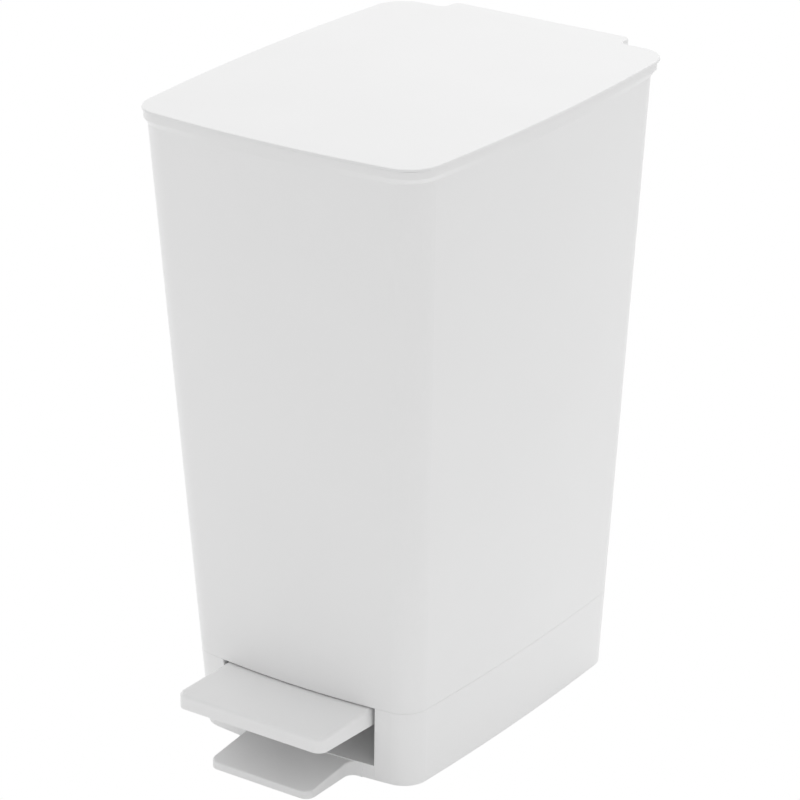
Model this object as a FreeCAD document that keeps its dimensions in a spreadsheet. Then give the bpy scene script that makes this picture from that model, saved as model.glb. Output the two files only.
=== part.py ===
"""Pedal trash can: a tapered outer body on a separate base, a flat lid that a pedal opens through
a push rod, and an inner bucket that lifts out. Millimetres, +Z up, front towards -Y. The origin is
on the ground below the middle of the overall width and depth."""
import FreeCAD, Part
import math
import os
import re
import Sketcher

doc = FreeCAD.newDocument("PedalTrashCan")

# ---------------------------------------------------------------- driving dimensions

driving = {
    # lid
    "height": 450,
    "lid_width": 240,
    "lid_depth": 305,
    "lid_corner": 24,
    "lid_side_bow": 5.2,
    "lid_front_bow": 4.4,
    "lid_plate": 1.6,
    "lid_edge_round": 1.2,
    "plan_y": 6.5,
    "tab_half_width": 72.5,
    "tab_rear_y": 173.5,
    "tab_skirt": 6.5,
    "tab_wall": 2.4,
    "tab_corner": 6,
    "tab_root_fillet": 5,
    "lid_seat_depth": 6,
    "lid_seat_wall": 1.8,
    "lid_seat_clearance": 2.4,
    "rib": 1.6,
    # hinge of the lid
    "hinge_y": 163.5,
    "hinge_z": 440,
    "hinge_rod_radius": 2,
    "knuckle_radius": 5,
    "ear_inner_x": 57,
    "ear_outer_x": 64,
    "centre_ear_inner_x": 8,
    "centre_ear_outer_x": 13,
    "running_gap": 0.05,
    "side_gap": 0.4,
    "crank_radius": 26.5,
    "crank_half_angle": 37.5,
    "crank_half_width": 4,
    "crank_tip_radius": 3,
    "crank_gusset": 9,
    # outer body
    "collar_gap": 0.5,
    "collar_inset": 1,
    "collar_height": 5,
    "collar_rear_inset": 2.8,
    "collar_root": 439.2,
    "taper_height": 434,
    "top_width": 238,
    "top_depth": 297,
    "top_y": 3.7,
    "top_corner": 25,
    "top_side_bow": 7,
    "top_front_bow": 5.5,
    "foot_width": 184.5,
    "foot_depth": 250.5,
    "foot_y": 8.7,
    "foot_corner": 18,
    "foot_side_bow": 2.8,
    "foot_front_bow": 4,
    "wall": 2.2,
    "body_floor_z": 64,
    "body_floor": 2.5,
    # base
    "seam_z": 57,
    "seam_gap": 0.12,
    "base_lift": 1,
    "base_floor": 3,
    "base_lip_wall": 1.6,
    "base_lip_top": 63,
    "lip_clearance": 0.3,
    "opening_half_width": 63.5,
    "opening_foot_half_width": 61,
    "opening_sill": 12,
    "step_half_width": 41.8,
    "step_front_y": -163,
    "step_front_height": 6.3,
    "step_edge_round": 1,
    "deck_rear_y": -56,
    "deck_skin": 2.2,
    "step_corner": 7,
    "step_flare": 10,
    "step_root_y": -115.4,
    # pedal and its axle
    "pedal_half_width": 60.2,
    "pedal_front_y": -173.5,
    "pedal_top": 56,
    "pedal_lip": 10.5,
    "pedal_lip_rear": 13.3,
    "pedal_skin": 3,
    "pedal_wall": 2.6,
    "pedal_corner": 7,
    "pedal_edge_round": 2.2,
    "pedal_shoulder_y": -110,
    "pedal_neck_y": -96,
    "pedal_neck_half_width": 45,
    "pedal_tail_y": -58,
    "pedal_tail_half_width": 38,
    "axle_y": -43.5,
    "axle_z": 36,
    "axle_radius": 3,
    "hub_radius": 7,
    "hub_half_length": 49,
    "post_inner_x": 50,
    "post_outer_x": 57,
    "post_half_depth": 8,
    "lever_half_width": 10,
    "lever_pad_top": 17,
    "lever_end_y": 129.5,
    # push rod
    "rod_radius": 2.5,
    "rod_foot_y": 124.5,
    "rod_head_y": 139.5,
    "rod_foot_z": 16,
    "rod_head_z": 422,
    "rod_head_gap": 0.8,
    "rod_foot_gap": 0.8,
    "head_cap_height": 12,
    "head_cap_half_width": 6,
    "head_cap_half_depth": 5.5,
    "foot_cap_radius": 5,
    "foot_cap_height": 12,
    "foot_cap_nose": 4,
    "foot_cap_tip": 1.5,
    "guide_half_width": 9,
    "guide_height": 14,
    "guide_front": 7,
    # inner bucket and its handle
    "bucket_bottom_z": 66.7,
    "bucket_top_z": 412,
    "bucket_foot_width": 176,
    "bucket_foot_depth": 226,
    "bucket_foot_y": 0.5,
    "bucket_foot_corner": 20,
    "bucket_foot_bow": 2,
    "bucket_top_width": 216,
    "bucket_top_depth": 257,
    "bucket_top_y": -4.5,
    "bucket_top_corner": 26,
    "bucket_top_bow": 5,
    "bucket_wall": 1.6,
    "bucket_floor": 2.2,
    "bucket_rim": 5,
    "bucket_rim_height": 3,
    "bucket_rim_drop": 9,
    "handle_pivot_x": 96,
    "handle_pivot_radius": 3,
    "handle_lift": 7,
    "handle_bar": 5,
    "handle_thickness": 5,
    "handle_ear": 4,
    # fasteners and feet
    "screw_x": 74,
    "screw_front_y": -83,
    "screw_rear_y": 102,
    "screw_radius": 1.5,
    "screw_head_radius": 3.2,
    "screw_head_height": 2.4,
    "screw_post_radius": 5,
    "screw_boss_radius": 4.5,
    "screw_boss_bottom": 40,
    "screw_seat_z": 12,
    "screw_tip_z": 54,
    "pad_x": 68,
    "pad_front_y": -96,
    "pad_rear_y": 116,
    "pad_radius": 8,
    "pad_height": 3,
    "clip_rim": 2.2,
    "clip_thickness": 1.2,
    "buffer_x": 105,
    "buffer_y": 138.4,
    "buffer_radius": 2,
    "buffer_seat": 0.8,
    "buffer_proud": 0.4,
}

sheet = doc.addObject("Spreadsheet::Sheet", "Dimensions")
for row, (alias, number) in enumerate(driving.items(), start=1):
    sheet.set(f"A{row}", str(number))
    sheet.setAlias(f"A{row}", alias)
doc.recompute()

alias_words = re.compile(r"\b(" + "|".join(sorted(driving, key=len, reverse=True)) + r")\b")


# ---------------------------------------------------------------- helpers

def value(text):
    """The present value of a formula in the sheet's aliases."""
    return float(sheet.evalExpression(str(text)))


def bind(item, prop, text):
    """Ties a property to a formula in the sheet's aliases."""
    item.setExpression(prop, alias_words.sub(r"Dimensions.\1", str(text)))


def constrain(sketch, kind, *places, text):
    """Adds a dimensional constraint that follows a formula."""
    number = sketch.addConstraint(Sketcher.Constraint(kind, *places, value(text)))
    bind(sketch, f"Constraints[{number}]", text)


def new_body(label):
    return doc.addObject("PartDesign::Body", label)


def new_sketch(body, name, plane="XY_Plane", offset="0"):
    """A sketch on one of the body's own origin planes, shifted along its normal."""
    sketch = body.newObject("Sketcher::SketchObject", name)
    support = [item for item in body.Origin.OriginFeatures if item.Role == plane][0]
    sketch.AttachmentSupport = (support, [""])
    sketch.MapMode = "FlatFace"
    bind(sketch, "AttachmentOffset.Base.z", offset)
    return sketch


def draw_polygon(sketch, corners):
    """Closed polygon. Each corner is (x, y) or (x, y, radius), all of them formulas."""
    corners = [tuple(corner) + ("0",) * (3 - len(corner)) for corner in corners]
    points = [FreeCAD.Vector(value(x), value(y), 0) for x, y, _ in corners]
    radii = [value(radius) for _, _, radius in corners]
    count = len(points)
    trims = []
    for i in range(count):
        before = (points[i - 1] - points[i]).normalize()
        after = (points[(i + 1) % count] - points[i]).normalize()
        trims.append(radii[i] / math.tan(before.getAngle(after) / 2) if radii[i] else 0)
    first = sketch.GeometryCount
    for i in range(count):
        j = (i + 1) % count
        along = (points[j] - points[i]).normalize()
        sketch.addGeometry(Part.LineSegment(points[i] + along * trims[i], points[j] - along * trims[j]))
    for i, (x, y, radius) in enumerate(corners):
        last_line = first + (i - 1) % count
        next_line = first + i
        if not radii[i]:
            sketch.addConstraint(Sketcher.Constraint("Coincident", last_line, 2, next_line, 1))
            constrain(sketch, "DistanceX", -1, 1, next_line, 1, text=x)
            constrain(sketch, "DistanceY", -1, 1, next_line, 1, text=y)
            continue
        start = sketch.Geometry[last_line].EndPoint
        end = sketch.Geometry[next_line].StartPoint
        before = (start - points[i]).normalize()
        after = (end - points[i]).normalize()
        half = before.getAngle(after) / 2
        centre = points[i] + (before + after).normalize() * (radii[i] / math.sin(half))
        forward = before.cross(after).z < 0
        angles = [math.atan2(end_point.y - centre.y, end_point.x - centre.x)
                  for end_point in ((start, end) if forward else (end, start))]
        if angles[1] < angles[0]:
            angles[1] += 2 * math.pi
        circle = Part.Circle(centre, FreeCAD.Vector(0, 0, 1), radii[i])
        arc = sketch.addGeometry(Part.ArcOfCircle(circle, *angles))
        sketch.addConstraint(Sketcher.Constraint("Tangent", last_line, 2, arc, 1 if forward else 2))
        sketch.addConstraint(Sketcher.Constraint("Tangent", arc, 2 if forward else 1, next_line, 1))
        constrain(sketch, "Radius", arc, text=radius)
        point = sketch.addGeometry(Part.Point(points[i]), True)
        constrain(sketch, "DistanceX", -1, 1, point, 1, text=x)
        constrain(sketch, "DistanceY", -1, 1, point, 1, text=y)
        sketch.addConstraint(Sketcher.Constraint("PointOnObject", point, 1, last_line))
        sketch.addConstraint(Sketcher.Constraint("PointOnObject", point, 1, next_line))


def draw_outline(sketch, plan, inset="0"):
    """Rounded rectangle with bowed sides and front and a straight back: four corner arcs, three
    shallow arcs and a line, all tangent. A corner arc keeps its centre when the outline is inset."""
    centre_x = f"({plan['width']} / 2 - {plan['corner']} - {plan['side_bow']})"
    front_y = f"({plan['y']} - {plan['depth']} / 2 + {plan['corner']} + {plan['front_bow']})"
    back_y = f"({plan['y']} + {plan['depth']} / 2 - {plan['corner']})"
    corner = f"({plan['corner']} - {inset})"
    side_bow, front_bow = plan["side_bow"], plan["front_bow"]
    half_side = f"(({back_y} - {front_y}) / 2)"
    side_radius = f"(({half_side}^2 + {side_bow}^2) / (2 * {side_bow}) + {corner})"
    front_radius = f"(({centre_x}^2 + {front_bow}^2) / (2 * {front_bow}) + {corner})"
    side_turn = 2 * math.atan(value(side_bow) / value(half_side))
    front_turn = 2 * math.atan(value(front_bow) / value(centre_x))
    quarter = math.pi / 2

    def arc(cx, cy, radius, start, end):
        circle = Part.Circle(FreeCAD.Vector(cx, cy, 0), FreeCAD.Vector(0, 0, 1), radius)
        return sketch.addGeometry(Part.ArcOfCircle(circle, start, end))

    x, front, back, small = value(centre_x), value(front_y), value(back_y), value(corner)
    wide, shallow = value(side_radius), value(front_radius)
    middle = (front + back) / 2
    bulge = x + small + value(side_bow)
    pieces = [
        arc(bulge - wide, middle, wide, -side_turn, side_turn),
        arc(x, back, small, side_turn, quarter),
        sketch.addGeometry(Part.LineSegment(FreeCAD.Vector(x, back + small, 0),
                                            FreeCAD.Vector(-x, back + small, 0))),
        arc(-x, back, small, quarter, 2 * quarter - side_turn),
        arc(wide - bulge, middle, wide, 2 * quarter - side_turn, 2 * quarter + side_turn),
        arc(-x, front, small, 2 * quarter + side_turn, 3 * quarter - front_turn),
        arc(0, front - small - value(front_bow) + shallow, shallow,
            3 * quarter - front_turn, 3 * quarter + front_turn),
        arc(x, front, small, 3 * quarter + front_turn, 4 * quarter - side_turn),
    ]
    for this, following in zip(pieces, pieces[1:] + pieces[:1]):
        sketch.addConstraint(Sketcher.Constraint("Tangent", this, 2, following, 1))
    centres = {1: (centre_x, back_y), 3: (f"-{centre_x}", back_y),
               5: (f"-{centre_x}", front_y), 7: (centre_x, front_y)}
    for index, (cx, cy) in centres.items():
        constrain(sketch, "DistanceX", -1, 1, pieces[index], 3, text=cx)
        constrain(sketch, "DistanceY", -1, 1, pieces[index], 3, text=cy)
        constrain(sketch, "Radius", pieces[index], text=corner)
    constrain(sketch, "Radius", pieces[0], text=side_radius)
    constrain(sketch, "Radius", pieces[4], text=side_radius)
    constrain(sketch, "Radius", pieces[6], text=front_radius)


def outline_sketch(body, name, plan, height, inset="0"):
    sketch = new_sketch(body, name, offset=height)
    draw_outline(sketch, plan, inset)
    return sketch


def pad(body, sketch, length, symmetric=False, cut=False):
    """Pads or pockets a sketch; a pocket goes along the sketch's normal, into the solid above it."""
    feature = body.newObject("PartDesign::Pocket" if cut else "PartDesign::Pad", sketch.Name + "Run")
    feature.Profile = sketch
    bind(feature, "Length", length)
    if symmetric:
        feature.SideType = "Symmetric"
    elif cut:
        feature.Reversed = True
    doc.recompute()
    return feature


def loft(body, lower, upper, cut=False):
    kind = "PartDesign::SubtractiveLoft" if cut else "PartDesign::AdditiveLoft"
    feature = body.newObject(kind, lower.Name + "Loft")
    feature.Profile = lower
    feature.Sections = [upper]
    feature.Ruled = True
    doc.recompute()
    return feature


def round_edges(body, name, radius, wanted):
    """Fillets the edges of the body's last feature that a test picks."""
    base = body.Tip
    names = [f"Edge{i}" for i, edge in enumerate(base.Shape.Edges, start=1) if wanted(edge)]
    feature = body.newObject("PartDesign::Fillet", name)
    feature.Base = (base, names)
    bind(feature, "Radius", radius)
    doc.recompute()
    return feature


def box(name, x, y, z):
    """A Part box between pairs of formulas along X, Y and Z."""
    item = doc.addObject("Part::Box", name)
    for prop, (low, high) in zip(("Length", "Width", "Height"), (x, y, z)):
        bind(item, prop, f"({high}) - ({low})")
    for axis, (low, _) in zip("xyz", (x, y, z)):
        bind(item, f"Placement.Base.{axis}", low)
    return item


def cylinder(name, radius, length, x, y, z, along="z", tilt=None):
    """A Part cylinder from a start point along Z, X, or the push rod's line (tilt, in degrees)."""
    item = doc.addObject("Part::Cylinder", name)
    bind(item, "Radius", radius)
    bind(item, "Height", length)
    if along == "x":
        item.Placement.Rotation = FreeCAD.Rotation(FreeCAD.Vector(0, 1, 0), 90)
    if tilt is not None:
        item.Placement.Rotation = FreeCAD.Rotation(FreeCAD.Vector(1, 0, 0), -tilt)
    for axis, text in zip("xyz", (x, y, z)):
        bind(item, f"Placement.Base.{axis}", text)
    return item


def fuse(label, *pieces):
    item = doc.addObject("Part::MultiFuse", label)
    item.Shapes = list(pieces)
    item.Refine = True
    doc.recompute()
    return item


def cut(label, base, *tools):
    """Base less its tools, checked to have taken something away."""
    item = doc.addObject("Part::Cut", label)
    item.Base = base
    item.Tool = tools[0] if len(tools) == 1 else fuse(label + "_tools", *tools)
    item.Refine = True
    doc.recompute()
    assert item.Shape.Volume < base.Shape.Volume - 0.1, label
    return item


def group(label, *pieces):
    """Several like pieces as one node of separate solids."""
    item = doc.addObject("Part::Compound", label)
    item.Links = list(pieces)
    doc.recompute()
    return item


# ---------------------------------------------------------------- plans of the shell

lid_plan = {"width": "lid_width", "depth": "lid_depth", "y": "plan_y", "corner": "lid_corner",
            "side_bow": "lid_side_bow", "front_bow": "lid_front_bow"}
collar_plan = {"width": "(lid_width - 2 * collar_inset)",
               "depth": "(lid_depth - collar_inset - collar_rear_inset)",
               "y": "(plan_y - (collar_rear_inset - collar_inset) / 2)",
               "corner": "(lid_corner - collar_inset)",
               "side_bow": "lid_side_bow", "front_bow": "lid_front_bow"}
bucket_foot_plan = {"width": "bucket_foot_width", "depth": "bucket_foot_depth", "y": "bucket_foot_y",
                    "corner": "bucket_foot_corner", "side_bow": "bucket_foot_bow",
                    "front_bow": "bucket_foot_bow"}
bucket_top_plan = {"width": "bucket_top_width", "depth": "bucket_top_depth", "y": "bucket_top_y",
                   "corner": "bucket_top_corner", "side_bow": "bucket_top_bow",
                   "front_bow": "bucket_top_bow"}


def shell_plan(height):
    """The tapered shell's outline at a height: straight lines from its foot to its top."""
    def between(part):
        return f"(foot_{part} + (top_{part} - foot_{part}) * ({height}) / taper_height)"
    return {part: between(part) for part in ("width", "depth", "y", "corner", "side_bow", "front_bow")}


lid_bottom = "(height - lid_plate)"
collar_top = "(height - lid_plate - collar_gap)"
collar_bottom = "(height - lid_plate - collar_gap - collar_height)"
body_bottom = "(seam_z + seam_gap)"
floor_top = "(body_floor_z + body_floor)"
crank_y = "(hinge_y - crank_radius * cos(crank_half_angle))"
crank_z = "(hinge_z - crank_radius * sin(crank_half_angle))"
rod_tilt = math.degrees(math.atan2(value("rod_head_y - rod_foot_y"), value("rod_head_z - rod_foot_z")))


def rod_y(height):
    """Where the push rod's line stands at a height."""
    return f"(rod_foot_y + (rod_head_y - rod_foot_y) * ({height} - rod_foot_z) / (rod_head_z - rod_foot_z))"


def inside_back(height):
    """Where the inner face of the back wall stands at a height, between the floor and the collar."""
    def back(plan):
        return f"({plan['y']} + {plan['depth']} / 2 - wall)"
    low, high = back(shell_plan(floor_top)), back(shell_plan("collar_root"))
    return f"({low} + ({high} - {low}) * ({height} - {floor_top}) / ({collar_top} - {floor_top}))"


def hinge_ear(body_label, inner_x, outer_x):
    """One ear of the body: a plate behind the wall with a round end about the hinge line."""
    ear = new_body(body_label)
    sketch = new_sketch(ear, body_label + "Side", "YZ_Plane", inner_x)
    draw_polygon(sketch, [
        ("hinge_y - 14", "hinge_z - 16"),
        ("hinge_y - 11", "hinge_z - 14"),
        ("hinge_y + knuckle_radius", "hinge_z - knuckle_radius", "knuckle_radius - 0.2"),
        ("hinge_y + knuckle_radius", "hinge_z + knuckle_radius", "knuckle_radius - 0.2"),
        ("hinge_y - 14", "hinge_z + knuckle_radius"),
    ])
    pad(ear, sketch, f"({outer_x}) - ({inner_x})")
    return ear


# ---------------------------------------------------------------- sub-parts

def make_outer_body():
    """Tapered one-piece shell with a collar at the top, a floor above the seam and the hinge ears."""
    shell = new_body("body_shell")
    loft(shell, outline_sketch(shell, "ShellFoot", shell_plan(body_bottom), body_bottom),
         outline_sketch(shell, "ShellTop", shell_plan("collar_root"), "collar_root"))
    loft(shell, outline_sketch(shell, "CollarRoot", shell_plan("collar_root"), "collar_root"),
         outline_sketch(shell, "CollarEdge", collar_plan, collar_bottom))
    pad(shell, outline_sketch(shell, "Collar", collar_plan, collar_bottom), "collar_height")
    loft(shell, outline_sketch(shell, "InsideFoot", shell_plan(floor_top), floor_top, "wall"),
         outline_sketch(shell, "InsideTop", shell_plan("collar_root"), collar_top, "wall"), cut=True)
    loft(shell, outline_sketch(shell, "SkirtFoot", shell_plan(body_bottom), body_bottom, "wall"),
         outline_sketch(shell, "SkirtTop", shell_plan("body_floor_z"), "body_floor_z", "wall"), cut=True)
    added = [shell]
    removed = []
    for side in (-1, 1):
        ears = (("outer", "ear_inner_x", "ear_outer_x"),
                ("centre", "centre_ear_inner_x", "centre_ear_outer_x"))
        for place, near, far in ears:
            low, high = (near, far) if side > 0 else (f"-{far}", f"-{near}")
            added.append(hinge_ear(f"ear_{place}_{side + 1}", low, high))
        for end, y in (("front", "screw_front_y"), ("rear", "screw_rear_y")):
            x = f"{side} * screw_x"
            added.append(cylinder(f"boss_{end}_{side + 1}", "screw_boss_radius",
                                  "body_floor_z + 1 - screw_boss_bottom", x, y, "screw_boss_bottom"))
            removed.append(cylinder(f"pilot_{end}_{side + 1}", "screw_radius",
                                    "screw_tip_z - screw_boss_bottom + 1", x, y, "screw_boss_bottom - 1"))
    removed.append(cylinder("ear_bore", "hinge_rod_radius", "2 * ear_outer_x + 2",
                            "-ear_outer_x - 1", "hinge_y", "hinge_z", along="x"))
    removed.append(cylinder("rod_hole", "rod_radius + 2", "12", "0", rod_y("body_floor_z"),
                            "body_floor_z - 4"))
    return cut("outer_body", fuse("body_solid", *added), *removed)


def make_base():
    """Base tray with the pedal opening, the step plate, the axle posts and the screw posts."""
    tray = new_body("base_tray")
    loft(tray, outline_sketch(tray, "TrayFoot", shell_plan("base_lift"), "base_lift"),
         outline_sketch(tray, "TrayTop", shell_plan("seam_z"), "seam_z"))
    inside_z = "(base_lift + base_floor)"
    loft(tray, outline_sketch(tray, "TrayInsideFoot", shell_plan(inside_z), inside_z, "wall"),
         outline_sketch(tray, "TrayInsideTop", shell_plan("seam_z"), "seam_z", "wall"), cut=True)
    lip_root = "(seam_z - 5)"
    lip = new_body("base_lip")
    pad(lip, outline_sketch(lip, "LipOuter", shell_plan(lip_root), lip_root,
                            "(wall + lip_clearance)"), f"base_lip_top - {lip_root}")
    pad(lip, outline_sketch(lip, "LipInner", shell_plan(lip_root), lip_root,
                            "(wall + lip_clearance + base_lip_wall)"),
        f"base_lip_top - {lip_root}", cut=True)
    shelf = new_body("lip_shelf")
    pad(shelf, outline_sketch(shelf, "ShelfOuter", shell_plan(lip_root), lip_root, "(wall / 2)"), "1.5")
    pad(shelf, outline_sketch(shelf, "ShelfInner", shell_plan(lip_root), lip_root,
                              "(wall + lip_clearance + base_lip_wall)"), "1.5", cut=True)
    step = new_body("step_plate")
    draw = new_sketch(step, "StepPlan", offset="base_lift")
    flare_x = "(step_half_width + step_flare)"
    draw_polygon(draw, [
        ("-step_half_width", "step_front_y", "step_corner"),
        ("step_half_width", "step_front_y", "step_corner"),
        ("step_half_width", "step_root_y", "step_flare - 3"),
        (flare_x, "step_root_y"),
        (flare_x, "step_root_y + 4"),
        (f"-{flare_x}", "step_root_y + 4"),
        (f"-{flare_x}", "step_root_y"),
        ("-step_half_width", "step_root_y", "step_flare - 3"),
    ])
    pad(step, draw, "opening_sill - base_lift")
    slope = new_sketch(step, "StepSlope", "YZ_Plane")
    draw_polygon(slope, [("step_front_y - 1", "step_front_height"), ("step_root_y + 5", "opening_sill"),
                         ("step_root_y + 5", "opening_sill + 1"),
                         ("step_front_y - 1", "opening_sill + 1")])
    pad(step, slope, f"2 * {flare_x} + 2", symmetric=True, cut=True)
    bottom, root, wide = value("base_lift"), value("step_root_y"), value("2 * step_half_width")
    round_edges(step, "StepRound", "step_edge_round",
                lambda edge: edge.BoundBox.ZMin > bottom + 1 and edge.BoundBox.YMax < root + 0.1
                and edge.BoundBox.XLength < wide)
    deck = box("pedal_deck", ("-opening_foot_half_width - 1", "opening_foot_half_width + 1"),
               ("step_root_y + 1", "deck_rear_y"), (inside_z + " - 0.5", "opening_sill"))
    added = [tray, lip, shelf, step, deck]
    opening = new_body("opening")
    face = new_sketch(opening, "OpeningFace", "XZ_Plane", "0 - pedal_neck_y")
    draw_polygon(face, [("-opening_foot_half_width", "opening_sill"),
                        ("opening_foot_half_width", "opening_sill"),
                        ("opening_half_width", "seam_z"), ("opening_half_width", "base_lip_top + 1"),
                        ("-opening_half_width", "base_lip_top + 1"), ("-opening_half_width", "seam_z")])
    pad(opening, face, "pedal_neck_y - pedal_front_y")
    hollow = new_body("step_hollow")
    profile = new_sketch(hollow, "HollowSide", "YZ_Plane")
    draw_polygon(profile, [
        ("step_front_y + deck_skin", "0"), ("deck_rear_y - deck_skin", "0"),
        ("deck_rear_y - deck_skin", "opening_sill - deck_skin"),
        ("step_root_y", "opening_sill - deck_skin"),
        ("step_front_y + deck_skin", "step_front_height - deck_skin")])
    pad(hollow, profile, "2 * (step_half_width - deck_skin)", symmetric=True)
    spine = box("step_spine", ("0 - rib / 2", "rib / 2"),
                ("step_front_y + deck_skin", "deck_rear_y - deck_skin"), ("0 - 1", "opening_sill"))
    removed = [opening, cut("step_hollows", hollow, spine)]
    for side in (-1, 1):
        low, high = ("post_inner_x", "post_outer_x")
        if side < 0:
            low, high = (f"-{high}", f"-{low}")
        added.append(box(f"axle_post_{side + 1}", (low, high),
                         ("axle_y - post_half_depth", "axle_y + post_half_depth"),
                         (inside_z + " - 1", "axle_z")))
        added.append(cylinder(f"axle_post_top_{side + 1}", "post_half_depth",
                              "post_outer_x - post_inner_x", low, "axle_y", "axle_z", along="x"))
        for end, y in (("front", "screw_front_y"), ("rear", "screw_rear_y")):
            x = f"{side} * screw_x"
            added.append(cylinder(f"post_{end}_{side + 1}", "screw_post_radius",
                                  "screw_boss_bottom - base_lift - 0.2", x, y, "base_lift"))
            removed.append(cylinder(f"post_bore_{end}_{side + 1}", "screw_radius + 0.3",
                                    "screw_boss_bottom", x, y, "base_lift"))
            removed.append(cylinder(f"post_sink_{end}_{side + 1}", "screw_head_radius + 0.4",
                                    "screw_seat_z - base_lift + 1", x, y, "base_lift - 1"))
        for end, y in (("front", "pad_front_y"), ("rear", "pad_rear_y")):
            removed.append(cylinder(f"pad_seat_{end}_{side + 1}", "pad_radius", "pad_height",
                                    f"{side} * pad_x", y, "0"))
    removed.append(cylinder("post_bore", "axle_radius", "2 * post_outer_x + 2",
                            "-post_outer_x - 1", "axle_y", "axle_z", along="x"))
    return cut("base", fuse("base_solid", *added), *removed)


def make_lid():
    """Flat lid with a hinge tab, a seat rim and ribs below, knuckles, and the crank that the rod lifts."""
    plate = new_body("lid_plate_solid")
    pad(plate, outline_sketch(plate, "LidPlan", lid_plan, lid_bottom), "lid_plate")
    tab = new_sketch(plate, "TabPlan", offset=lid_bottom)
    tab_root = "(plan_y + lid_depth / 2 - 10)"
    draw_polygon(tab, [("-tab_half_width", tab_root), ("tab_half_width", tab_root),
                       ("tab_half_width", "tab_rear_y", "tab_corner"),
                       ("-tab_half_width", "tab_rear_y", "tab_corner")])
    pad(plate, tab, "lid_plate")
    half, back = value("tab_half_width"), value("plan_y + lid_depth / 2")
    round_edges(plate, "TabRoots", "tab_root_fillet",
                lambda edge: edge.BoundBox.ZLength > 1
                and abs(abs(edge.CenterOfMass.x) - half) < 0.01
                and abs(edge.CenterOfMass.y - back) < 0.01)
    top = value("height")
    round_edges(plate, "LidEdge", "lid_edge_round",
                lambda edge: edge.BoundBox.ZMin > top - 0.01)
    seat = new_body("lid_seat")
    seat_bottom = f"({lid_bottom} - lid_seat_depth)"
    seat_inset = "(wall + lid_seat_clearance)"
    pad(seat, outline_sketch(seat, "SeatOuter", shell_plan("taper_height"), seat_bottom, seat_inset),
        "lid_seat_depth + 0.5")
    pad(seat, outline_sketch(seat, "SeatInner", shell_plan("taper_height"), seat_bottom,
                             f"({seat_inset} + lid_seat_wall)"), "lid_seat_depth + 0.5", cut=True)
    skirt = new_body("tab_skirt_solid")
    skirt_bottom = f"({lid_bottom} - tab_skirt)"
    for name, inset in (("SkirtOuter", "0"), ("SkirtInner", "tab_wall")):
        sketch = new_sketch(skirt, name, offset=skirt_bottom)
        root = "(plan_y + lid_depth / 2 - 0.5)" if inset == "0" else "(plan_y + lid_depth / 2 - 2)"
        draw_polygon(sketch, [(f"-(tab_half_width - {inset})", root), (f"tab_half_width - {inset}", root),
                              (f"tab_half_width - {inset}", f"tab_rear_y - {inset}", f"tab_corner - {inset}"),
                              (f"-(tab_half_width - {inset})", f"tab_rear_y - {inset}",
                               f"tab_corner - {inset}")])
        pad(skirt, sketch, "tab_skirt + 0.5", cut=inset != "0")
    added = [plate, seat, skirt]
    for side in (-1, 1):
        low, high = ("ear_outer_x + side_gap", "tab_half_width - 0.4")
        if side < 0:
            low, high = (f"-({high})", f"-({low})")
        added.append(cylinder(f"knuckle_{side + 1}", "knuckle_radius", f"({high}) - ({low})",
                              low, "hinge_y", "hinge_z", along="x"))
        added.append(box(f"knuckle_web_{side + 1}", (low, high),
                         ("hinge_y - knuckle_radius", "hinge_y + knuckle_radius"),
                         ("hinge_z", lid_bottom + " + 0.5")))
    crank = new_body("crank")
    side_view = new_sketch(crank, "CrankSide", "YZ_Plane")
    tip_low = f"({crank_z} - crank_tip_radius)"
    draw_polygon(side_view, [
        (f"{crank_y} - crank_tip_radius", tip_low, "crank_tip_radius - 0.01"),
        (f"{crank_y} + crank_tip_radius", tip_low, "crank_tip_radius - 0.01"),
        (f"{crank_y} + crank_tip_radius", f"{lid_bottom} + 0.5"),
        (f"{crank_y} - crank_tip_radius - crank_gusset", f"{lid_bottom} + 0.5"),
        (f"{crank_y} - crank_tip_radius", f"{lid_bottom} - crank_gusset"),
    ])
    pad(crank, side_view, "2 * crank_half_width", symmetric=True)
    added.append(crank)
    added.append(box("crank_web", ("-3 * crank_half_width", "3 * crank_half_width"),
                     (f"{crank_y} - rib / 2", f"{crank_y} + rib / 2"),
                     (f"{lid_bottom} - crank_gusset", f"{lid_bottom} + 0.5")))
    for index, y in enumerate(("-90", "-45", "0", "45", "90")):
        added.append(box(f"cross_rib_{index}", ("-lid_width / 2 + 14", "lid_width / 2 - 14"),
                         (f"plan_y + {y} - rib / 2", f"plan_y + {y} + rib / 2"),
                         (f"{lid_bottom} - 3", f"{lid_bottom} + 0.5")))
    removed = [cylinder("lid_bore", "hinge_rod_radius + running_gap", "2 * tab_half_width - 2",
                        "-tab_half_width - 1", "hinge_y", "hinge_z", along="x")]
    for side in (-1, 1):
        removed.append(cylinder(f"buffer_seat_{side + 1}", "buffer_radius", "buffer_seat",
                                f"{side} * buffer_x", "plan_y - buffer_y", lid_bottom))
    return cut("lid", fuse("lid_solid", *added), *removed)


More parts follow.
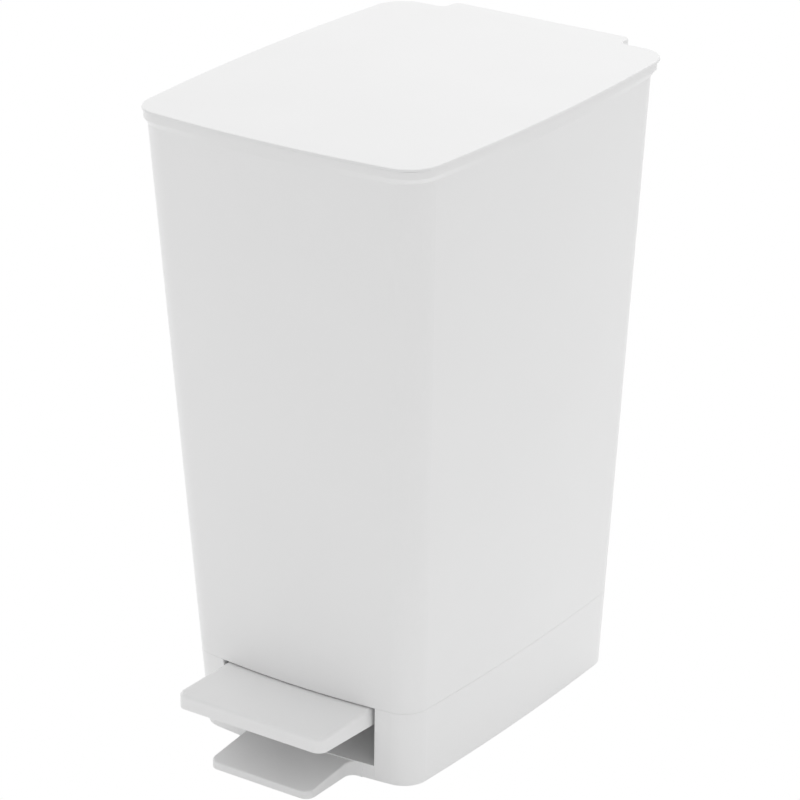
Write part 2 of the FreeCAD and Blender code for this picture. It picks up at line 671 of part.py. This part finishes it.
def make_pedal():
    """Pedal: hollow tread with a deep lip, two side webs, a hub on the axle and the lever behind it."""
    tread = new_body("tread")
    under = "(pedal_top - pedal_lip_rear)"
    plan = new_sketch(tread, "TreadPlan", offset=under)
    draw_polygon(plan, [
        ("-pedal_half_width", "pedal_front_y", "pedal_corner"),
        ("pedal_half_width", "pedal_front_y", "pedal_corner"),
        ("pedal_half_width", "pedal_shoulder_y"),
        ("pedal_neck_half_width", "pedal_neck_y", "4"),
        ("pedal_tail_half_width", "pedal_tail_y"),
        ("-pedal_tail_half_width", "pedal_tail_y"),
        ("-pedal_neck_half_width", "pedal_neck_y", "4"),
        ("-pedal_half_width", "pedal_shoulder_y"),
    ])
    pad(tread, plan, "pedal_lip_rear")
    rise = new_sketch(tread, "LipRise", "YZ_Plane")
    draw_polygon(rise, [("pedal_front_y - 1", f"{under} - 1"), ("pedal_shoulder_y", f"{under} - 1"),
                        ("pedal_shoulder_y", under), ("pedal_front_y - 1", "pedal_top - pedal_lip")])
    pad(tread, rise, "2 * pedal_half_width + 2", symmetric=True, cut=True)
    top = value("pedal_top")
    round_edges(tread, "TreadRound", "pedal_edge_round",
                lambda edge: edge.BoundBox.ZMin > top - 0.01
                and edge.BoundBox.YMax < value("pedal_shoulder_y") + 0.1)
    hollow = new_sketch(tread, "TreadHollow", offset=under)
    draw_polygon(hollow, [
        ("-pedal_half_width + pedal_wall", "pedal_front_y + pedal_wall", "pedal_corner - pedal_wall"),
        ("pedal_half_width - pedal_wall", "pedal_front_y + pedal_wall", "pedal_corner - pedal_wall"),
        ("pedal_half_width - pedal_wall", "pedal_shoulder_y - 1", "3"),
        ("pedal_neck_half_width - pedal_wall", "pedal_neck_y - 1", "3"),
        ("pedal_tail_half_width - pedal_wall", "pedal_tail_y - pedal_wall"),
        ("-pedal_tail_half_width + pedal_wall", "pedal_tail_y - pedal_wall"),
        ("-pedal_neck_half_width + pedal_wall", "pedal_neck_y - 1", "3"),
        ("-pedal_half_width + pedal_wall", "pedal_shoulder_y - 1", "3"),
    ])
    pad(tread, hollow, "pedal_lip_rear - pedal_skin", cut=True)
    added = [tread]
    for side in (-1, 1):
        web = new_body(f"web_{side + 1}")
        low = "pedal_tail_half_width - 8" if side > 0 else "-(pedal_tail_half_width - 4)"
        sketch = new_sketch(web, f"WebSide{side + 1}", "YZ_Plane", low)
        draw_polygon(sketch, [
            ("pedal_front_y + 40", f"{under} + 4"),
            ("pedal_tail_y - 20", "axle_z"),
            ("axle_y", "axle_z - hub_radius + 1"),
            ("axle_y + hub_radius - 1", "axle_z"),
            ("axle_y", "axle_z + hub_radius - 1"),
            ("pedal_tail_y - 1", "pedal_top - 1"),
            ("pedal_front_y + 40", "pedal_top - 1"),
        ])
        pad(web, sketch, "4")
        added.append(web)
    for index, x in enumerate(("-20", "20")):
        added.append(box(f"tread_rib_{index}", (f"{x} - 1", f"{x} + 1"),
                         ("pedal_front_y + 1", "pedal_tail_y - 1"), (f"{under} + 3", "pedal_top - 1")))
    added.append(cylinder("hub", "hub_radius", "2 * hub_half_length", "-hub_half_length",
                          "axle_y", "axle_z", along="x"))
    lever = new_body("lever")
    side_view = new_sketch(lever, "LeverSide", "YZ_Plane")
    draw_polygon(side_view, [
        ("axle_y", "axle_z - hub_radius + 1"),
        ("axle_y + 70", "lever_pad_top - 3", "20"),
        ("lever_end_y - 20", "lever_pad_top - 8", "20"),
        ("lever_end_y", "lever_pad_top - 8", "3"),
        ("lever_end_y", "lever_pad_top", "2"),
        ("lever_end_y - 14", "lever_pad_top", "4"),
        ("axle_y + 60", "axle_z - 4", "20"),
        ("axle_y", "axle_z + hub_radius - 1"),
    ])
    pad(lever, side_view, "2 * lever_half_width", symmetric=True)
    added.append(lever)
    bore = cylinder("pedal_bore", "axle_radius + running_gap", "2 * hub_half_length + 2",
                    "-hub_half_length - 1", "axle_y", "axle_z", along="x")
    return cut("pedal", fuse("pedal_solid", *added), bore)


def make_push_rod():
    """Steel rod that leans with the back wall, its head cap under the crank and its foot on the lever."""
    head_top = f"({crank_z} - crank_tip_radius - rod_head_gap)"
    foot_bottom = "(lever_pad_top + rod_foot_gap)"
    low, high = f"({foot_bottom} + 5)", f"({head_top} - 4)"
    length = f"(({high} - {low}) / cos({rod_tilt}))"
    rod = cylinder("push_rod", "rod_radius", length, "0", rod_y(low), low, tilt=rod_tilt)
    head_bottom = f"({head_top} - head_cap_height)"
    head_y = rod_y(head_top)
    head = box("head_block", ("-head_cap_half_width", "head_cap_half_width"),
               (f"{head_y} - head_cap_half_depth", f"{head_y} + head_cap_half_depth"),
               (head_bottom, head_top))
    nose = doc.addObject("Part::Cone", "foot_nose")
    bind(nose, "Radius1", "foot_cap_tip")
    bind(nose, "Radius2", "foot_cap_radius")
    bind(nose, "Height", "foot_cap_nose")
    bind(nose, "Placement.Base.y", rod_y(foot_bottom))
    bind(nose, "Placement.Base.z", foot_bottom)
    barrel = cylinder("foot_barrel", "foot_cap_radius", "foot_cap_height - foot_cap_nose", "0",
                      rod_y(foot_bottom), f"{foot_bottom} + foot_cap_nose")
    foot = fuse("foot_block", nose, barrel)
    return [rod, cut("rod_head_cap", head, rod), cut("rod_foot_cap", foot, rod)]


def make_guides():
    """Three nylon guides on the back wall: one on the floor, one half-way and one below the head cap."""
    guides = []
    for name, z in (("rod_guide_lower", floor_top), ("rod_guide_middle", "225"), ("rod_guide_upper", "382")):
        block = new_body(name + "_block")
        high = f"({z} + guide_height)"
        back = [inside_back(level) for level in (z, high)]
        front = [f"({rod_y(level)} - guide_front)" for level in (z, high)]
        sketch = new_sketch(block, name + "Side", "YZ_Plane")
        draw_polygon(sketch, [(front[0], z), (back[0], z), (back[1], high), (front[1], high)])
        pad(block, sketch, "2 * guide_half_width", symmetric=True)
        round_edges(block, name + "Round", "4",
                    lambda edge: edge.BoundBox.ZLength > 5
                    and edge.CenterOfMass.y < value(f"{rod_y(z)}"))
        bore = cylinder(name + "_bore", "rod_radius + running_gap", "guide_height + 6", "0",
                        rod_y(f"({z} - 3)"), f"{z} - 3", tilt=rod_tilt)
        guides.append(cut(name, block, bore))
    return guides


def make_bucket():
    """Inner bucket: a thin tapered tub with a turned-down rim and two ears for its handle."""
    tub = new_body("bucket_tub")
    loft(tub, outline_sketch(tub, "TubFoot", bucket_foot_plan, "bucket_bottom_z"),
         outline_sketch(tub, "TubTop", bucket_top_plan, "bucket_top_z"))
    inside_z = "(bucket_bottom_z + bucket_floor)"
    loft(tub, outline_sketch(tub, "TubInsideFoot", bucket_foot_plan, inside_z, "bucket_wall"),
         outline_sketch(tub, "TubInsideTop", bucket_top_plan, "bucket_top_z", "bucket_wall"), cut=True)
    rim = new_body("bucket_rim_solid")
    rim_bottom = "(bucket_top_z - bucket_rim_height - bucket_rim_drop)"
    rim_height = "(bucket_rim_height + bucket_rim_drop)"
    pad(rim, outline_sketch(rim, "RimOuter", bucket_top_plan, rim_bottom, "(0 - bucket_rim)"), rim_height)
    pad(rim, outline_sketch(rim, "RimInner", bucket_top_plan, rim_bottom, "(bucket_wall - bucket_rim)"),
        "bucket_rim_drop", cut=True)
    pad(rim, outline_sketch(rim, "RimMouth", bucket_top_plan, rim_bottom, "bucket_wall"),
        rim_height, cut=True)
    added = [tub, rim]
    removed = []
    pivot_z = "(bucket_top_z + handle_lift)"
    for side in (-1, 1):
        low, high = ("handle_pivot_x", "handle_pivot_x + handle_ear")
        if side < 0:
            low, high = (f"-({high})", f"-({low})")
        added.append(box(f"bucket_ear_{side + 1}", (low, high),
                         ("bucket_top_y - 7", "bucket_top_y + 7"), ("bucket_top_z - 6", pivot_z)))
        added.append(cylinder(f"bucket_ear_top_{side + 1}", "7", "handle_ear", low, "bucket_top_y",
                              pivot_z, along="x"))
        added.append(box(f"bucket_ear_foot_{side + 1}",
                         ("handle_pivot_x", "bucket_top_width / 2 - 1") if side > 0
                         else ("1 - bucket_top_width / 2", "-handle_pivot_x"),
                         ("bucket_top_y - 7", "bucket_top_y + 7"), ("bucket_top_z - 6", "bucket_top_z")))
        removed.append(cylinder(f"bucket_ear_bore_{side + 1}", "handle_pivot_radius + running_gap",
                                "handle_ear + 2", f"{low} - 1", "bucket_top_y", pivot_z, along="x"))
    bucket = cut("inner_bucket", fuse("bucket_solid", *added), *removed)

    bail = new_body("bail")
    sketch = new_sketch(bail, "BailPlan", offset="bucket_top_z + handle_lift - handle_thickness / 2")
    out = "(handle_pivot_x + handle_ear + 0.4 + handle_bar)"
    inner = "(handle_pivot_x + handle_ear + 0.4)"
    front = "(bucket_top_y - bucket_top_depth / 2 + 4)"
    draw_polygon(sketch, [
        (f"-{out}", "bucket_top_y + 5", "2"), (f"-{out}", front, "26"), (out, front, "26"),
        (out, "bucket_top_y + 5", "2"), (inner, "bucket_top_y + 5", "2"),
        (inner, f"{front} + 14", "20"), (f"-{inner}", f"{front} + 14", "20"),
        (f"-{inner}", "bucket_top_y + 5", "2"),
    ])
    pad(bail, sketch, "handle_thickness")
    pins = []
    for side in (-1, 1):
        low, length = ("handle_pivot_x - 1", "handle_ear + 2.5")
        if side < 0:
            low = f"-({low} + {length})"
        pins.append(cylinder(f"bail_pin_{side + 1}", "handle_pivot_radius", length, low,
                             "bucket_top_y", pivot_z, along="x"))
    return [bucket, fuse("bucket_handle", bail, *pins)]


def make_screws():
    screws = []
    for side in (-1, 1):
        for end, y in (("front", "screw_front_y"), ("rear", "screw_rear_y")):
            x = f"{side} * screw_x"
            shank = cylinder(f"shank_{end}_{side + 1}", "screw_radius", "screw_tip_z - screw_seat_z",
                             x, y, "screw_seat_z")
            head = cylinder(f"head_{end}_{side + 1}", "screw_head_radius", "screw_head_height",
                            x, y, "screw_seat_z - screw_head_height")
            screws.append(fuse(f"screw_{end}_{side + 1}", shank, head))
    return group("base_screws", *screws)


def make_feet():
    feet = []
    for end, y in (("front", "pad_front_y"), ("rear", "pad_rear_y")):
        for hand, side in (("left", -1), ("right", 1)):
            feet.append(cylinder(f"foot_{end}_{hand}", "pad_radius", "pad_height",
                                 f"{side} * pad_x", y, "0"))
    return feet


def make_clips(label, inner_radius, x, y, z):
    """A pair of push-on retaining washers on a shaft."""
    clips = []
    for side in (-1, 1):
        low = x if side > 0 else f"-({x} + clip_thickness)"
        disc = cylinder(f"{label}_disc_{side + 1}", f"{inner_radius} + clip_rim", "clip_thickness",
                        low, y, z, along="x")
        hole = cylinder(f"{label}_hole_{side + 1}", inner_radius, "clip_thickness + 2",
                        f"{low} - 1", y, z, along="x")
        doc.recompute()
        clips.append(cut(f"{label}_{side + 1}", disc, hole))
    return group(label, *clips)


def make_buffers():
    buffers = []
    for hand, side in (("left", -1), ("right", 1)):
        buffers.append(cylinder(f"lid_buffer_{hand}", "buffer_radius", "buffer_seat + buffer_proud",
                                f"{side} * buffer_x", "plan_y - buffer_y",
                                f"{lid_bottom} - buffer_proud"))
    return buffers


def main():
    hinge_rod = cylinder("hinge_rod", "hinge_rod_radius", "2 * tab_half_width - 4",
                         "-tab_half_width + 0.5", "hinge_y", "hinge_z", along="x")
    axle = cylinder("pedal_axle", "axle_radius", "2 * post_outer_x + 6", "-post_outer_x - 3",
                    "axle_y", "axle_z", along="x")
    nodes = [make_outer_body(), make_base(), make_lid(), make_pedal(), hinge_rod, axle]
    nodes += make_push_rod() + make_guides() + make_bucket() + make_feet() + make_buffers()
    nodes += [make_screws(),
              make_clips("hinge_rod_clips", "hinge_rod_radius", "ear_inner_x - clip_thickness - 0.1",
                         "hinge_y", "hinge_z"),
              make_clips("axle_clips", "axle_radius", "post_outer_x + 0.1", "axle_y", "axle_z")]
    doc.recompute()
    for item in doc.Objects:
        assert "Invalid" not in item.State and "Error" not in item.State, item.Name
    os.makedirs("parts", exist_ok=True)
    for node in nodes:
        assert not node.Shape.isNull() and node.Shape.isValid(), node.Label
        node.Shape.exportStep(f"parts/{node.Label}.step")
        print(f"{node.Label:20s} solids {len(node.Shape.Solids)} volume {node.Shape.Volume:10.0f}")
    whole = FreeCAD.BoundBox()
    for node in nodes:
        whole.add(node.Shape.BoundBox)
    print("overall", whole)


main()
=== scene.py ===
import math

import bpy
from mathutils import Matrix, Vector

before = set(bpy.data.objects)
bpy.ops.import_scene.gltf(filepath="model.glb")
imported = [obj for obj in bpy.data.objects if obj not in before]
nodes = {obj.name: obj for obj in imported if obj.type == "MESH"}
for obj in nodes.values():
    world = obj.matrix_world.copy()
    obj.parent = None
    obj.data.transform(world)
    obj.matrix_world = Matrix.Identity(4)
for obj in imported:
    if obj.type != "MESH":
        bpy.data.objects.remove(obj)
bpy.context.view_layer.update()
print("frame loaded:", len(nodes), "nodes")

# millimetres to metres
mm = 0.001


# a hex colour as the linear values that shaders take
def linear(hexColour):
    channels = [int(hexColour[i:i + 2], 16) / 255 for i in (1, 3, 5)]
    return [c / 12.92 if c <= 0.04045 else ((c + 0.055) / 1.055) ** 2.4 for c in channels] + [1.0]


# one node of a shader tree, with its input values and the sockets that feed it
def addNode(tree, kind, settings=None, **links):
    node = tree.nodes.new(kind)
    for name, value in (settings or {}).items():
        if hasattr(node, name):
            setattr(node, name, value)
        else:
            node.inputs[name].default_value = value
    for name, socket in links.items():
        tree.links.new(socket, node.inputs[name.replace("_", " ")])
    return node


def emptyMaterial(name):
    material = bpy.data.materials.new(name)
    material.use_nodes = True
    material.node_tree.nodes.clear()
    return material, material.node_tree


def finishMaterial(tree, shader):
    output = tree.nodes.new("ShaderNodeOutputMaterial")
    tree.links.new(shader.outputs[0], output.inputs["Surface"])


# what every moulded piece shares, in millimetres: the patches of slightly different tone, the
# slow waves left by cooling, and how far the polish wanders
moulding = {"patch": 90, "wave": 55, "waveDepth": 0.05, "polishSpread": 0.04}


# moulded thermoplastic: a satin skin with a fine spark-eroded grain from the mould, and a slow
# waviness from cooling that makes broad highlights soft and slightly uneven
def mouldedPlastic(name, colour, shade, roughness, grain, grainDepth, ior):
    material, tree = emptyMaterial(name)
    place = addNode(tree, "ShaderNodeTexCoord").outputs["Object"]
    cloud = addNode(tree, "ShaderNodeTexNoise", {"Scale": 1 / (moulding["patch"] * mm), "Detail": 2.0},
                    Vector=place)
    tone = addNode(tree, "ShaderNodeMix", {"data_type": "RGBA"}, Factor=cloud.outputs["Fac"])
    tone.inputs["A"].default_value = linear(colour)
    tone.inputs["B"].default_value = linear(shade)
    fine = addNode(tree, "ShaderNodeTexNoise", {"Scale": 1 / (grain * mm), "Detail": 3.0}, Vector=place)
    slow = addNode(tree, "ShaderNodeTexNoise", {"Scale": 1 / (moulding["wave"] * mm), "Detail": 0.0},
                   Vector=place)
    polish = addNode(tree, "ShaderNodeMapRange", {"To Min": roughness - moulding["polishSpread"],
                                                  "To Max": roughness + moulding["polishSpread"]},
                     Value=fine.outputs["Fac"])
    cooled = addNode(tree, "ShaderNodeBump", {"Strength": 1.0, "Distance": moulding["waveDepth"] * mm},
                     Height=slow.outputs["Fac"])
    grained = addNode(tree, "ShaderNodeBump", {"Strength": 1.0, "Distance": grainDepth * mm},
                      Height=fine.outputs["Fac"], Normal=cooled.outputs["Normal"])
    skin = addNode(tree, "ShaderNodeBsdfPrincipled", {"IOR": ior},
                   Base_Color=tone.outputs["Result"], Roughness=polish.outputs["Result"],
                   Normal=grained.outputs["Normal"])
    finishMaterial(tree, skin)
    return material


# what both steels share, in millimetres: the marks left by the die or the plating bath
marking = {"pitch": 0.8, "depth": 0.02, "strength": 0.5, "smoother": 0.08, "rougher": 0.1}


# bright drawn or plated steel: a grey metal with fine marks along the piece
def brightSteel(name, colour, roughness, along):
    material, tree = emptyMaterial(name)
    place = addNode(tree, "ShaderNodeTexCoord").outputs["Object"]
    stretch = addNode(tree, "ShaderNodeMapping", {"Scale": along}, Vector=place)
    marks = addNode(tree, "ShaderNodeTexNoise", {"Scale": 1 / (marking["pitch"] * mm), "Detail": 4.0},
                    Vector=stretch.outputs["Vector"])
    polish = addNode(tree, "ShaderNodeMapRange", {"To Min": roughness - marking["smoother"],
                                                  "To Max": roughness + marking["rougher"]},
                     Value=marks.outputs["Fac"])
    scratched = addNode(tree, "ShaderNodeBump", {"Strength": marking["strength"],
                                                 "Distance": marking["depth"] * mm},
                        Height=marks.outputs["Fac"])
    metal = addNode(tree, "ShaderNodeBsdfPrincipled", {"Base Color": linear(colour), "Metallic": 1.0},
                    Roughness=polish.outputs["Result"], Normal=scratched.outputs["Normal"])
    finishMaterial(tree, metal)
    return material


# the bin's own white: bright, even and satin, with edges that stay soft
whitePlastic = mouldedPlastic("whitePolypropylene", colour="#F7F7F7", shade="#F4F4F4", roughness=0.42,
                              grain=0.9, grainDepth=0.006, ior=1.49)
# the bucket's light grey, duller and coarser, so that the inside reads apart from the shell
greyPlastic = mouldedPlastic("greyPolypropylene", colour="#D9DADB", shade="#D3D4D5", roughness=0.5,
                             grain=1.2, grainDepth=0.015, ior=1.49)
# undyed nylon: the creamy tint of guides and caps that run on steel
nylon = mouldedPlastic("naturalNylon", colour="#E6E3D6", shade="#DFDCCD", roughness=0.45,
                       grain=1.0, grainDepth=0.01, ior=1.53)
# soft rubber of the feet and buffers: a matt mid grey without highlights
elastomer = mouldedPlastic("thermoplasticRubber", colour="#B9BABC", shade="#B0B1B3", roughness=0.75,
                           grain=0.8, grainDepth=0.02, ior=1.5)
# wire drawn through a die: long fine streaks down its length
wireSteel = brightSteel("drawnSteelWire", colour="#C9CACB", roughness=0.3, along=(1, 1, 0.05))
# zinc plate on the screws and washers: cooler and evenly speckled
zincSteel = brightSteel("zincPlatedSteel", colour="#CDD0D4", roughness=0.34, along=(1, 1, 1))

finishes = {
    "outer_body": whitePlastic, "base": whitePlastic, "lid": whitePlastic, "pedal": whitePlastic,
    "inner_bucket": greyPlastic, "bucket_handle": greyPlastic,
    "rod_guide_lower": nylon, "rod_guide_middle": nylon, "rod_guide_upper": nylon,
    "rod_head_cap": nylon, "rod_foot_cap": nylon,
    "hinge_rod": wireSteel, "pedal_axle": wireSteel, "push_rod": wireSteel,
    "base_screws": zincSteel, "hinge_rod_clips": zincSteel, "axle_clips": zincSteel,
    "foot_front_left": elastomer, "foot_front_right": elastomer,
    "foot_rear_left": elastomer, "foot_rear_right": elastomer,
    "lid_buffer_left": elastomer, "lid_buffer_right": elastomer,
}
for nodeName, finish in finishes.items():
    nodes[nodeName].data.materials.clear()
    nodes[nodeName].data.materials.append(finish)
print("materials set")

white = (1, 1, 1, 1)
studio = {"floorSize": 6.0, "floorColour": "#F4F4F4", "floorRoughness": 0.9, "floorGlow": 0.166,
          "ambient": 0.62, "backdrop": 1.0, "lightsAim": (0, 0, 0.22)}


# one shader for what the camera sees directly, another for every other ray
def splitByRay(tree, direct, otherwise):
    seen = addNode(tree, "ShaderNodeLightPath").outputs["Is Camera Ray"]
    mix = tree.nodes.new("ShaderNodeMixShader")
    tree.links.new(seen, mix.inputs[0])
    tree.links.new(otherwise.outputs[0], mix.inputs[1])
    tree.links.new(direct.outputs[0], mix.inputs[2])
    return mix


def buildFloor():
    bpy.ops.mesh.primitive_plane_add(size=studio["floorSize"], location=(0, 0, 0))
    floor = bpy.context.object
    floor.name = "studio_floor"
    material, tree = emptyMaterial("paperSweep")
    paper = addNode(tree, "ShaderNodeBsdfPrincipled",
                    {"Base Color": linear(studio["floorColour"]), "Roughness": studio["floorRoughness"],
                     "Emission Color": white, "Emission Strength": studio["floorGlow"]})
    blank = addNode(tree, "ShaderNodeEmission", {"Color": white, "Strength": studio["backdrop"]})
    finishMaterial(tree, splitByRay(tree, blank, paper))
    floor.data.materials.append(material)


def buildWorld():
    world = bpy.data.worlds.new("studioAir")
    bpy.context.scene.world = world
    world.use_nodes = True
    tree = world.node_tree
    tree.nodes.clear()
    glow = addNode(tree, "ShaderNodeBackground", {"Color": white, "Strength": studio["ambient"]})
    paper = addNode(tree, "ShaderNodeBackground", {"Color": white, "Strength": studio["backdrop"]})
    mix = splitByRay(tree, paper, glow)
    output = tree.nodes.new("ShaderNodeOutputWorld")
    tree.links.new(mix.outputs[0], output.inputs["Surface"])


# direction from the object: azimuth 0 is the front, 90 the object's right; elevation up
def direction(azimuth, elevation):
    a, e = math.radians(azimuth), math.radians(elevation)
    return Vector((math.sin(a) * math.cos(e), -math.cos(a) * math.cos(e), math.sin(e)))


softboxes = {
    "key_above": {"azimuth": 20, "elevation": 80, "distance": 2.2, "size": 2.4, "watts": 5},
    "wash_left": {"azimuth": -105, "elevation": 15, "distance": 2.4, "size": 1.8, "watts": 10.5},
    "sweep_rear": {"azimuth": 180, "elevation": 55, "distance": 2.4, "size": 1.8, "watts": 18},
}


def buildLights():
    aim = Vector(studio["lightsAim"])
    for name, box in softboxes.items():
        light = bpy.data.lights.new(name, "AREA")
        light.shape = "SQUARE"
        light.size = box["size"]
        light.energy = box["watts"]
        lamp = bpy.data.objects.new(name, light)
        bpy.context.scene.collection.objects.link(lamp)
        lamp.location = aim + direction(box["azimuth"], box["elevation"]) * box["distance"]
        lamp.rotation_euler = (lamp.location - aim).to_track_quat("Z", "Y").to_euler()


view = {"azimuth": 35.13, "elevation": 22.77, "distance": 2.688, "aim": (-0.0476, 0.0699, 0.1886),
        "lens": 171.8, "sensor": 36.0}


def buildCamera():
    lens = bpy.data.cameras.new("camera")
    lens.lens = view["lens"]
    lens.sensor_width = view["sensor"]
    camera = bpy.data.objects.new("camera", lens)
    bpy.context.scene.collection.objects.link(camera)
    back = direction(view["azimuth"], view["elevation"])
    camera.location = Vector(view["aim"]) + back * view["distance"]
    camera.rotation_euler = back.to_track_quat("Z", "Y").to_euler()
    bpy.context.scene.camera = camera


buildFloor()
buildWorld()
buildLights()
buildCamera()
bpy.context.scene.view_settings.view_transform = "Standard"
print("studio set")
